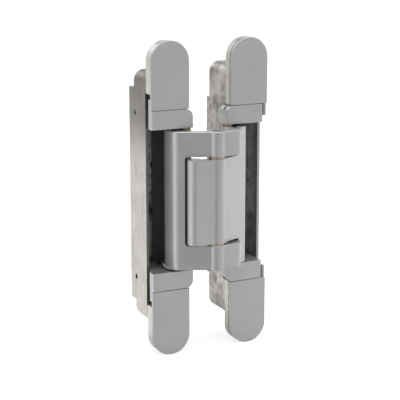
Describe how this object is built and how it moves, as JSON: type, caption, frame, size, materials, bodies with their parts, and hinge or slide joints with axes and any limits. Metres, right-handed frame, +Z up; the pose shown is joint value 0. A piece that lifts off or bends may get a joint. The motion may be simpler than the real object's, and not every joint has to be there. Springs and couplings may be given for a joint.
{
  "type": "concealed door hinge",
  "caption": "Adjustable concealed door hinge, opened flat: die-cast casings with round-ended covers and pivot blocks, joined by interlocking knuckle arms that slide in curved guides.",
  "frame": {"origin": "midway between the leaves, on the front plane of the covers, at mid-height, open at 180 degrees", "axes": "+X from the frame leaf to the door leaf, +Y into the frame and door, +Z up along the pins"},
  "size_m": [0.069, 0.0425, 0.172],
  "materials": {
    "raw_casting": "raw die casting",
    "satin_metal": "satin",
    "black_plastic": "matt",
    "steel": "turned",
    "bearing_bronze": "satin"
  },
  "bodies": {
    "frame_leaf": {"frame_case": "raw_casting", "frame_upper_cover": "satin_metal", "frame_lower_cover": "satin_metal"},
    "frame_carriage": {"frame_upper_block": "satin_metal", "frame_lower_block": "satin_metal", "frame_guide": "black_plastic", "frame_pivot_pin": "steel", "frame_pivot_spacers": "bearing_bronze", "frame_depth_screws": "steel", "frame_lock_screws": "steel"},
    "inner_arm": {"inner_arm": "satin_metal", "inner_arm_slide_pin": "steel", "inner_arm_bush": "bearing_bronze", "inner_arm_slide_plates": "steel", "centre_pin": "steel", "centre_washers": "bearing_bronze"},
    "outer_arm": {"outer_arm": "satin_metal", "outer_arm_slide_pin": "steel", "outer_arm_bushes": "bearing_bronze", "outer_arm_slide_plates": "steel", "door_pivot_washers": "bearing_bronze"},
    "door_carriage": {"door_upper_block": "satin_metal", "door_lower_block": "satin_metal", "door_guide": "black_plastic", "door_pivot_pin": "steel"},
    "door_leaf": {"door_case": "raw_casting", "door_upper_cover": "satin_metal", "door_lower_cover": "satin_metal", "door_clamp_screws": "steel", "door_side_screws": "steel"}
  },
  "joints": [
    {"name": "frame_depth_adjust", "type": "slide", "parent": "frame_leaf", "child": "frame_carriage", "axis": [0, 1, 0], "range_m": [0, 0.001]},
    {"name": "frame_pivot", "type": "hinge", "parent": "frame_carriage", "child": "inner_arm", "pos_m": [-0.0128, 0.005, 0], "axis": [0, 0, -1], "range_deg": [0, 110.89]},
    {"name": "centre_pivot", "type": "hinge", "parent": "inner_arm", "child": "outer_arm", "pos_m": [0, -0.0075, 0], "axis": [0, 0, -1], "range_deg": [-41.8, 0]},
    {"name": "door_pivot", "type": "hinge", "parent": "outer_arm", "child": "door_carriage", "pos_m": [0.0128, 0.005, 0], "axis": [0, 0, -1], "range_deg": [0, 110.9]},
    {"name": "door_side_adjust", "type": "slide", "parent": "door_carriage", "child": "door_leaf", "axis": [1, 0, 0], "range_m": [-0.0007, 0.0007]}
  ],
  "couplings": [
    {"joint": "centre_pivot", "follows": "frame_pivot", "ratio": -0.37684},
    {"joint": "door_pivot", "follows": "frame_pivot", "ratio": 1}
  ]
}
